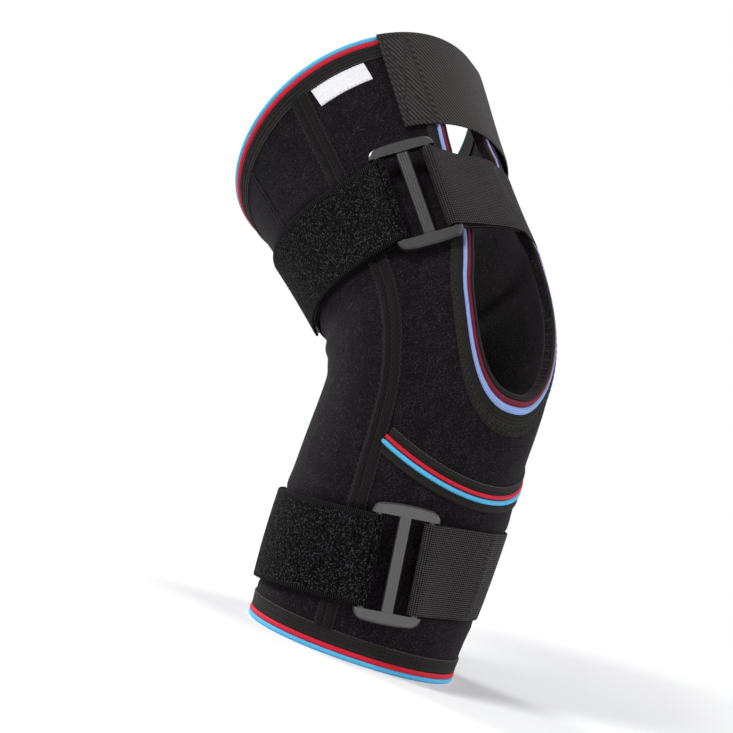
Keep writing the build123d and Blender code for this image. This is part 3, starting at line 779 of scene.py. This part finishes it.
def bottom_binding():
    turn = np.linspace(0, 2 * math.pi, 161)
    ring, sewn = Line(np.zeros(160), turn[:-1]), Line(np.zeros(161), turn)
    rim_binding("bottom", "calf_section", ring, sewn, 1, 0.02, 13.7)


def top_binding():
    start = window_outline()[1][-1]
    angle = np.linspace(start, 2 * math.pi - start, 190)
    ring = Line(top_station(angle), angle)
    rim_binding("top", "thigh_section", ring, ring, -1, 0.0, 13.8)


def window_binding():
    """Binding round the window, from the lateral top round the bottom to the medial top."""
    station, angle = window_outline(40)
    kept = station < TOP + TOP_RISE - 3.4
    station, angle = station[kept], angle[kept]
    line = Line(np.concatenate([station[::-1], station[1:]]), np.concatenate([-angle[::-1], angle[1:]]))
    roll = [(-1.9, 0.1), (-1.7, 1.0), (-0.9, 1.35), (-0.2, 0.8), (0, 0), (0, INSIDE + 0.9),
            (-0.4, INSIDE + 0.3), (-1.4, INSIDE), (-12, INSIDE), (-12, INSIDE + 0.7), (-1.2, INSIDE + 0.7),
            (-1.2, -0.1)]
    edge = sweep("window_edge_tape", line, roll, BLACK_TAPE)
    red = tape("window_red_stripe", line, -2.75, 1.9, 1.3, DARK_RED_TAPE, BEND, 0.85, 3)
    blue = tape("window_blue_stripe", line, -4.85, 2.2, 1.45, PALE_BLUE_TAPE, BEND, 1.0, 3)
    black = tape("window_binding_tape", line, -9.4, 6.8, 0.85, BLACK_TAPE, BEND, 0.5, 16)
    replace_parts(edge, "window_binding_base")
    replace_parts(black, "window_binding_knee", "window_binding_sides")
    zigzag("window_binding_zigzag", line, -10.9, 3.0, 0.95, CHARCOAL_THREAD, 1.9)
    stitch_row("window_binding_stitches", line, -7.3, 0.95, BLACK_THREAD, BEND, 2.4, 1.8, 0.18)


def channel_line(side, low, high, steps):
    station = np.linspace(low, high, steps)
    return Line(station, side * np.radians(channel_angle(station)))


def channels():
    """Stay channels down both sides, each with two spring stays and their end caps."""
    ridge = lambda across: 0.95 * np.exp(-(((np.abs(across) - STAY_SHIFT) / 1.55) ** 4))
    for side, name in SIDES:
        line = channel_line(side, 13.4, top_station(70 * DEGREE) - 13.2, 150)
        strip = tape(f"{name}_channel", line, 0, CHANNEL_WIDTH, 0.95, CHANNEL_TAPE, steps=26, extra=ridge)
        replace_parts(strip, *(f"{name}_channel_{part}" for part in ("calf", "knee", "thigh")))
        for k, across in enumerate((-5.0, 0.0, 5.0)):
            zigzag(f"{name}_channel_zigzag_{k}", line, across, 1.7, 0.9, CHARCOAL_THREAD, 1.5, 0.16)
        inner = channel_line(side, 28, 297, 110)
        for shift, place in ((STAY_SHIFT, "rear"), (-STAY_SHIFT, "front")):
            stay = tape(f"{name}_{place}_spring_stay", inner, side * shift, 3.9, 0.8, STEEL, BEND, 0.2, 3, 0)
            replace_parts(stay, f"{name}_{place}_stay")
        for low, high, part in ((20, 28, "calf"), (297, 305, "thigh")):
            run, label = channel_line(side, low, high, 5), f"{name}_{part}_stay_cap"
            pair = [tape(label, run, way * STAY_SHIFT, 4.2, 1.0, CAP, None, 0.4, 3, 0) for way in (-1, 1)]
            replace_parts(put(join(pair, label + "s"), f"{part}_section"), f"{name}_stay_caps_{part}")


def curved_trim():
    """Striped trim across the front below the knee: four tapes sewn on a wider one."""
    side = math.radians(channel_angle(125.0)) - (CHANNEL_WIDTH / 2 - 0.6) / 61
    angle = np.linspace(-side, side, 110)
    line = Line(TRIM_STATION - TRIM_SLOPE * half_depth(110.0) * np.cos(angle), angle)
    body = "calf_section"
    strips = (
        ("trim_base_tape", 0, 15.2, 0.45, BLACK_TAPE, 0.4),
        ("trim_upper_tape", 5.1, 4.7, 1.0, BLACK_TAPE, 0.5),
        ("trim_red_stripe", 1.35, 2.3, 1.55, RED_TAPE, 1.0),
        ("trim_blue_stripe", -1.65, 2.7, 1.65, BLUE_TAPE, 1.1),
        ("trim_lower_tape", -5.4, 4.3, 1.0, BLACK_TAPE, 0.5),
    )
    for name, middle, width, thick, finish, corner in strips:
        sewn = grooves(-1.2 if middle > 0 else 0.8, depth=0.5 if finish is BLACK_TAPE else 0)
        strip = tape(name, line, middle, width, thick, finish, body, corner, 16, extra=sewn)
        if middle == 0:
            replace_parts(strip, "curved_trim")
    stitch_row("trim_stitches", line, (3.9, -4.6), 0.6, BLACK_THREAD, body, 2.6, 1.7, 0.2)
    stitch_row("trim_edge_threads", line, (7.3, 6.5, -7.2, -6.7), 0.6, GREY_THREAD, body, 1.7, 1.6, 0.12)


def rear_seams():
    for side, name in SIDES:
        station = np.linspace(206, top_station(REAR_SEAM * DEGREE) - 13.6, 60)
        line = Line(station, side * DEGREE * (REAR_SEAM + 4.5 * ease((300 - station) / 95)))
        ridge = lambda across: -0.3 * np.exp(-((across / 0.6) ** 2))
        seam = tape(f"{name}_rear_seam", line, 0, 5.0, 0.55, NEOPRENE_CLOTH, BEND, 0.9, 14, 0.0, ridge)
        stitch_row(f"{name}_rear_seam_stitches", line, (-1.5, 1.5), 0.55, BLACK_THREAD, BEND, 2.2, 1.6, 0.14)


# --- straps ---
def resting(strap, angle, across):
    """Height of the middle of a strap that lies on the sleeve, bridging the stay channels."""
    station, round_leg, _ = on_leg(strap.spot(angle, across, 0.0))
    away = (np.degrees(np.abs(round_leg)) - channel_angle(station)) * 1.1
    return 0.2 + STRAP_THICK / 2 + 1.3 * np.exp(-((away / 9.5) ** 2))


def cloth(name, node, grid, finish, body, thick=STRAP_THICK):
    """Strap about a grid of middle points, in place of a CAD node, its edges rounded."""
    half = normals(grid) * rounded(ACROSS, STRAP_WIDTH, thick, 0.75)[None, :, None] / 2
    piece = slab(name, grid + half, grid - half, finish, body)
    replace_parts(piece, node)
    return piece


def strap_grids(strap):
    """Middle surfaces of the webbing, loop strap, fold, folded-back end and hook patch."""
    across = ACROSS[None, :]
    front, rear = strap.front_angle, strap.rear_angle

    def pulled(angles, bar, side, reach, free):
        """Strap pulled straight from above (1) or below (-1) a bar to where it lies, degrees away."""
        start = front if bar is strap.bar else rear
        share = np.clip((angles - start) / reach, 0, 1)
        at_bar = on_leg(strap.at_bar(bar, 0, side))[2][None, :]
        return strap.spot(angles, across, free + (at_bar - free) * (1 - share) ** 2)

    def lying(*spans):
        angles = np.concatenate([np.linspace(*span) for span in spans])[:, None]
        return angles, resting(strap, angles, across)

  # webbing: from its stitching under itself to the front bar, round it and over to medial
    sewn = strap.stitching[0]
    angles, free = lying((sewn - 2, front + 0.5, 34))
    below = pulled(angles, strap.bar, -1, 14, free)
    turns = np.linspace(-math.pi / 2, math.pi / 2, 13)[1:-1]
    around = np.stack([strap.at_bar(strap.bar, -math.cos(t), math.sin(t)) for t in turns])
    angles, free = lying((front + 0.5, front + 26, 16), (front + 27, 86, 60))
    double = (STRAP_THICK + 0.15) * (1 - ease((angles - sewn) / 9))
    webbing = np.concatenate([below, around, pulled(angles, strap.bar, 1, 26, free + double)])

  # loop strap: round the back of the leg to the rear bar, folded over it and back over itself
    angles, free = lying((-266, rear - 0.5, 130))
    loop = pulled(angles, strap.rear, -1, -15, free)
    turns = np.linspace(-math.pi / 2 - 0.25, math.pi / 2 + 0.25, 19)
    fold = np.stack([strap.at_bar(strap.rear, math.cos(t), math.sin(t)) for t in turns])
    angles, free = lying((rear - 0.3, rear - 24, 18), (rear - 25, -150, 60))
    end = pulled(angles, strap.rear, 1, -24, free + STRAP_THICK + HOOK_THICK + 0.25)
    angles, free = lying((-149, -118, 40))
    hook = strap.spot(angles, across * 0.97, free + STRAP_THICK / 2 + HOOK_THICK / 2 + 0.12)
    return webbing, loop, fold, end, hook


def strap_stitches(strap, body):
    """Two rows of stitches across the webbing, where it is sewn to itself."""
    low, high = strap.stitching
    run = np.linspace(2 - STRAP_WIDTH / 2, STRAP_WIDTH / 2 - 2, 40)
    paths = []
    for shift in (0.0, 2.4):
        angle = low + (high - low) * (run / STRAP_WIDTH + 0.5) + shift
        base = resting(strap, angle, run) + 1.5 * STRAP_THICK + 0.05
        points = strap.spot(angle, run, base)
        paths.append(along_line(points, 2.6, 1.9, strap.spot(angle, run, base + 0.4) - points))
    threads(f"{strap.name}_webbing_stitches", np.concatenate(paths), 0.22, BLACK_THREAD, body)


def strap_set(strap, section):
    """One strap round the leg and through its buckle."""
    name, buckle, tip = strap.name, f"{strap.name}_buckle", f"{strap.name}_strap_end"
    webbing, loop, fold, end, hook = strap_grids(strap)
    start = strap.spot(strap.rear_angle - 26, 0.0, 2.0) * MM
    bend = (section, buckle, start, strap.at_bar(strap.rear, 0, -1).mean(0) * MM)
    web = cloth(f"{name}_webbing_strap", f"{name}_webbing", webbing, WEBBING, section)
    pile = cloth(f"{name}_loop_pile_strap", f"{name}_loop_strap", loop, LOOP_PILE, bend)
    turn = cloth(f"{name}_strap_turn", f"{name}_strap_fold", fold, LOOP_PILE, buckle)
    free = cloth(f"{name}_strap_free_end", tip, end, LOOP_PILE, tip)
    pad = cloth(f"{name}_hook_patch", f"{name}_hook_tab", hook, HOOKS, tip, HOOK_THICK)
    strap_stitches(strap, section)


# --- top closure strap and label ---
STRAP_LOW, FOLD = 269.8, -16 * DEGREE
# the box of stitches that sews the closure strap down, in shares of the sewn tab
BOX = np.array([(0.12, 0.05), (0.12, 0.95), (0.93, 0.95), (0.93, 0.05), (0.25, 0.05), (0.25, 0.95)])
BOX_LINES = BOX[[(0, 1), (1, 2), (2, 3), (3, 0), (0, 2), (1, 3), (4, 5)]]


def box_relief(rows, columns, size):
    """Depth of the grooves that the box of stitches draws into the closure strap."""
    place = np.moveaxis(np.indices((rows, columns)), 0, -1) / (rows - 1, columns - 1) * size
    nearest = np.full((rows, columns), 9.0)
    for start, end in BOX_LINES:
        run, offset = (end - start) * size, place - start * size
        share = np.clip(offset @ run / (run @ run), 0, 1)
        nearest = np.minimum(nearest, np.linalg.norm(offset - share[..., None] * run, axis=-1))
    return 0.55 * np.exp(-((nearest / 0.75) ** 2))


def closure_patch(name, node, angle, height, margins, finish, body, thick, columns=34, boxed=False):
    """Patch across the top of the window: rows round the leg, columns up it."""
    share, turn = np.linspace(0, 1, columns), angle[:, None]
    low, high = STRAP_LOW + margins[0], top_station(turn) - 0.5 - margins[1]
    lean = math.radians(4.2) * (share - 1) * ease((FOLD - turn) / math.radians(4))
    grid = skin(low + (high - low) * share, turn + lean, height)
    size = np.array([distances(grid, 0)[-1], distances(grid, 1)[-1]])
    across = np.linspace(-0.5, 0.5, columns) * size[1]
    half = rounded(across, size[1], thick, 0.9)[None, :, None] / 2
    drawn = box_relief(len(angle), columns, size)[..., None] if boxed else 0
    n = normals(grid)
    piece = slab(name, grid + n * (half - drawn), grid - n * half, finish, body)
    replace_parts(piece, f"top_strap_{node}" if node else "top_strap")
    return grid


def top_closure():
    """Twill strap across the top: sewn down on the lateral side, closed by hooks on the medial."""
    spans = ((-29.4, -16.05, 56), (-15.95, 64, 74), (37, 62, 24))
    sewn, free, hooks = (np.linspace(*span) * DEGREE for span in spans)
    base, section, strap = 2.4, "thigh_section", "top_strap"
    height = base + 0.7 * ease((free - 24 * DEGREE) / (10 * DEGREE))[:, None]
    grid = closure_patch("top_strap_sewn_tab", "tab", sewn, base, (0, 0), TWILL, section, 1.5, 120, True)
    closure_patch("top_closure_strap", "", free, height, (0, 0), TWILL, strap, 1.5)
    closure_patch("top_closure_hooks", "hook", hooks, base - 0.45, (4, 6), HOOKS, strap, 0.7)
    closure_patch("top_closure_landing", "landing", hooks - DEGREE, 0.75, (4, 14.5), LOOP_PILE, section, 0.8)
    box_stitches(grid)


def box_stitches(grid):
    """Box and cross of stitches that sew the closure strap down, and the row at its fold."""
    both = np.concatenate([grid, normals(grid)], -1)
    last = np.array(grid.shape[:2]) - 1

    def pick(share):
        """Point and normal at shares along and across the grid."""
        place = share * last
        i, j = np.minimum(place.astype(int), last - 1)
        s, t = place - (i, j)
        near, far = (both[k, j] * (1 - t) + both[k, j + 1] * t for k in (i, i + 1))
        return near * (1 - s) + far * s

    paths = []
    for start, end in BOX_LINES:
        row = np.array([pick(start + (end - start) * t) for t in np.linspace(0, 1, 26)])
        paths.append(along_line(row[:, :3] + row[:, 3:] * 0.22, 2.7, 2.0, row[:, 3:] * 0.32))
    threads("top_strap_box_stitches", np.concatenate(paths), 0.26, BLACK_THREAD, "thigh_section")


def label():
    """Blank label below the top binding."""
    angle = np.radians(np.linspace(-64, -38.6, 40))
    line = Line(np.linspace(*(top_station(angle[[0, -1]]) - 20.4), len(angle)), angle)
    tag = tape("blank_label", line, 0, 11.6, 0.4, LABEL, "thigh_section", 0.25, 12, 0.15)
    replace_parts(tag, "label")
    stitch_row("label_stitches", line, (5.2, -5.2), 0.5, WHITE_THREAD, "thigh_section", 2.2, 1.6, 0.1)


# --- scene ---
TARGET = Vector((16.8, 0.0, 170.0))
AZIMUTH, ELEVATION, ROLL = 47.0 * DEGREE, 4.34 * DEGREE, 18.8 * DEGREE
DISTANCE, FRAME_WIDTH = 2300.0, 400.5  # the width seen at the target
OFFSET = (-55.6, -1.3)  # of the view's middle from the target, right and up


def camera():
    turn = Matrix.Rotation(AZIMUTH, 4, "Z") @ Matrix.Rotation(math.pi / 2 - ELEVATION, 4, "X")
    turn = turn @ Matrix.Rotation(ROLL, 4, "Z")
    data = bpy.data.cameras.new("camera")
    data.sensor_width = 36.0
    data.lens = data.sensor_width * DISTANCE / FRAME_WIDTH
    data.clip_end = 50
    view = new_object("camera", data)
    view.matrix_world = Matrix.Translation((TARGET + turn @ Vector((*OFFSET, DISTANCE))) * MM) @ turn
    bpy.context.scene.camera = view


def lamp(name, place, size, power, aim=0.16):
    """Disk lamp aimed at a height on the leg's line, in metres."""
    data = bpy.data.lights.new(name, "AREA")
    data.shape, data.size, data.energy = "DISK", size, power
    light = new_object(name, data)
    light.location = place
    light.rotation_euler = (Vector((0, 0, aim)) - Vector(place)).to_track_quat("-Z", "Y").to_euler()


def studio():
    """Pale even light, with a plain white backdrop for the camera and for reflections."""
    scene = bpy.context.scene
    scene.view_settings.view_transform = "Standard"
    scene.world = bpy.data.worlds.new("studio")
    scene.world.use_nodes = True
    tree = scene.world.node_tree
    light = tree.nodes["Background"]
    light.inputs[0].default_value = (0.93, 0.95, 1.0, 1)
    light.inputs[1].default_value = 0.24
    white = add_node(tree, "ShaderNodeBackground", (1, 1, 1, 1))
    path = tree.nodes.new("ShaderNodeLightPath").outputs
    seen = path["Is Camera Ray"]
    for kind in ("Is Glossy Ray", "Is Transmission Ray"):
        seen = add_node(tree, "ShaderNodeMath", seen, path[kind], operation="MAXIMUM")
    mix = add_node(tree, "ShaderNodeMixShader", seen, light.outputs[0], white)
    tree.links.new(mix, tree.nodes["World Output"].inputs[0])
    lamp("key", (-0.2, -2.1, 1.9), 0.9, 52)
    lamp("fill", (2.5, -1.35, 0.3), 1.4, 12)
    lamp("side", (2.1, 0.5, 1.1), 1.0, 20)
    lamp("rim", (-1.9, -0.6, 0.9), 0.9, 34, 0.18)
    lamp("back", (0.6, 2.2, 1.3), 1.2, 26)


def floor():
    """Pale floor that fades into the white backdrop away from the object."""
    bpy.ops.mesh.primitive_circle_add(vertices=96, radius=1.6, fill_type="NGON", location=(0, 0, 0))
    piece = bpy.context.object
    piece.name = "floor"
    f = Finish("pale floor", None, 0.1, Base_Color=(0.93, 0.93, 0.935, 1), Roughness=0.9)
    metres = f.node("ShaderNodeTexCoord", out=3)
    reach = f.node("ShaderNodeVectorMath", metres, out=1, operation="LENGTH")
    fade = f.node("ShaderNodeMapRange", reach, 0.15, 0.75, interpolation_type="SMOOTHSTEP")
    mix = f.node("ShaderNodeMixShader", fade, f.shader.outputs[0], f.node("ShaderNodeBsdfTransparent"))
    f.tree.links.new(mix, f.tree.nodes["Material Output"].inputs[0])
    piece.data.materials.append(f.material)


def buckles():
    for strap in (UPPER, LOWER):
        for slot in frame["nodes"][f"{strap.name}_buckle"].material_slots:
            slot.material = PLASTIC.material


camera()
studio()
floor()
sleeve()
bottom_binding()
top_binding()
window_binding()
channels()
curved_trim()
rear_seams()
strap_set(UPPER, "thigh_section")
strap_set(LOWER, "calf_section")
top_closure()
label()
buckles()
